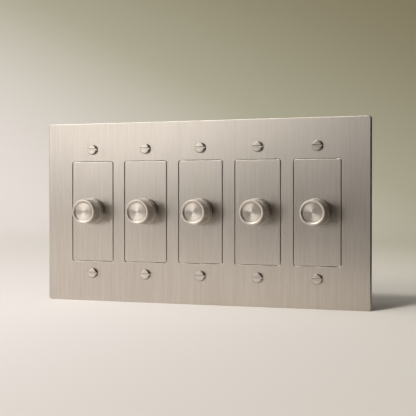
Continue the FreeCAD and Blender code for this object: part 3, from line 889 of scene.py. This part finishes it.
def sweep_paper():
    """Matt paper, evened out by how far it turns towards the lamps."""
    material, base = start_finish("sweep_paper")
    x, y, z = point(base)
    seen = seen_paper(base, x, y, z)
    # Rays that come off a glossy surface see the painted reflection floor; the camera sees the paper.
    tone = base.node("LightPath", output="Is Glossy Ray").mix(seen, painted_reflection_floor(x, y, seen))
    normal = base.node("NewGeometry", output="Normal")
    facing = base.vector("DOT_PRODUCT", normal, KEY_WAY, output="Value")
    even = 1.0 / (SOFT_SHARE + facing * KEY_SHARE)
    finish_off(base, {
        "Base Color": base.vector("MULTIPLY", tone, even),
        "Roughness": 0.85 + (grain(base, SPECK_WAVES) - 0.5) * 0.1,
        "Specular IOR Level": 0.2,
    })
    return material


sweep.data.materials.append(sweep_paper())
bpy.context.scene.collection.objects.link(sweep)
print("paper:", sweep.data.materials[0].name)

# %% [markdown]
# ## Light
# The photograph has soft light from the upper left and little from the right: the knobs' right sides are
# dark, and their shadows fall softly to the lower right. Two far lamps, one high and one low, light the
# paper and give the shadow its long soft end. Steel shows what stands around it, so for the steel the
# light is built as surfaces: a low, tilted strip lies where the brushed face looks and gives it the
# gradient from the upper left, a card overhead draws the bright lines on the top edges, and a panel at the
# left serves the knobs. The world is dim, and dimmer to the right.

# %% Stand a lamp
LAMP_COLOUR = (1.0, 0.975, 0.945)


def direction(left, above):
    """A way out from the object, by its angles to the left of straight ahead and above level."""
    a, e = math.radians(left), math.radians(above)
    return Vector((-math.sin(a) * math.cos(e), -math.cos(a) * math.cos(e), math.sin(e)))


def put_lamp(name, lamp, way, distance, roll=0.0):
    """Stands a lamp at a distance along a way, facing the object and rolled over by an angle."""
    lamp.color = LAMP_COLOUR
    holder = bpy.data.objects.new(name, lamp)
    holder.location = way * distance
    facing = (-way).to_track_quat("-Z", "Y") @ Quaternion((0, 0, 1), math.radians(roll))
    holder.rotation_euler = facing.to_euler()
    bpy.context.scene.collection.objects.link(holder)
    return holder


print("lamp colour:", LAMP_COLOUR)

# %% Far lamps
KEY_LEFT = 27
KEY_DISTANCE = 2.5


def key(name, above, energy, spread):
    """A far lamp at the left that lights the paper but isn't mirrored in the steel."""
    lamp = bpy.data.lights.new(name, "SUN")
    lamp.energy = energy
    lamp.angle = math.radians(spread)
    print(name, above, "degrees up")
    put_lamp(name, lamp, direction(KEY_LEFT, above), KEY_DISTANCE).visible_glossy = False


key("key_lamp", above=46, energy=1.75, spread=12)
key("low_key_lamp", above=25, energy=1.65, spread=22)


# %% Panels
def panel(name, left, above, distance, size, brightness, roll=0.0):
    """A soft rectangular lamp of an even brightness."""
    lamp = bpy.data.lights.new(name, "AREA")
    lamp.shape = "RECTANGLE"
    lamp.size, lamp.size_y = size
    lamp.energy = math.pi * size[0] * size[1] * brightness
    print(name, round(lamp.energy, 1), "W")
    return put_lamp(name, lamp, direction(left, above), distance, roll)


panel("side_panel", left=66, above=38, distance=1.7, size=(1.4, 1.2), brightness=2.0)
panel("front_strip", left=24.4, above=8.3, distance=1.6, size=(0.64, 0.25), brightness=3.45, roll=27.6)
card = panel("top_panel", left=40, above=58, distance=1.5, size=(1.0, 1.0), brightness=4.3)
card.visible_diffuse = False
fill = panel("fill_panel", left=0, above=85, distance=1.8, size=(2.0, 2.0), brightness=0.55)
fill.visible_glossy = False

# %% World
WORLD_LEFT = (0.46, 0.445, 0.43, 1)
WORLD_RIGHT = (0.050, 0.042, 0.036, 1)
WORLD_TURN = (0.05, 0.9)


def build_world():
    """A dim room, lighter at the left."""
    world = bpy.data.worlds.new("studio")
    world.use_nodes = True
    world.node_tree.nodes.clear()
    base = Socket(world.node_tree)
    way = base.node("TexCoord", output="Generated")
    left = base.node("SeparateXYZ", inputs={0: way}) * -1.0
    colour = left.between(*WORLD_TURN).mix(WORLD_RIGHT, WORLD_LEFT)
    shine = base.node("Background", inputs={"Color": colour, "Strength": 1.0})
    base.node("OutputWorld", inputs={"Surface": shine})
    return world


bpy.context.scene.world = build_world()

# %% [markdown]
# ## Camera
# The viewing angle was worked out from the plate's corners in the photograph: the camera stands a little
# to the right, almost level with the knobs, with a moderately long lens.

# %% Camera
AZIMUTH = math.radians(18.986)
ELEVATION = math.radians(0.573)
TARGET = Vector((6.287, -5.0, 3.060)) * MM
DISTANCE = 714.35 * MM
SENSOR = 36.0
LENS = 80.0

camera_data = bpy.data.cameras.new("camera")
camera_data.sensor_width = SENSOR
camera_data.lens = LENS
camera = bpy.data.objects.new("camera", camera_data)
back = Vector((math.sin(AZIMUTH) * math.cos(ELEVATION), -math.cos(AZIMUTH) * math.cos(ELEVATION),
               math.sin(ELEVATION)))
camera.location = TARGET + back * DISTANCE
camera.rotation_euler = (-back).to_track_quat("-Z", "Y").to_euler()
bpy.context.scene.collection.objects.link(camera)
bpy.context.scene.camera = camera
bpy.context.scene.view_settings.view_transform = "Standard"
print("camera at", [round(v, 4) for v in camera.location])
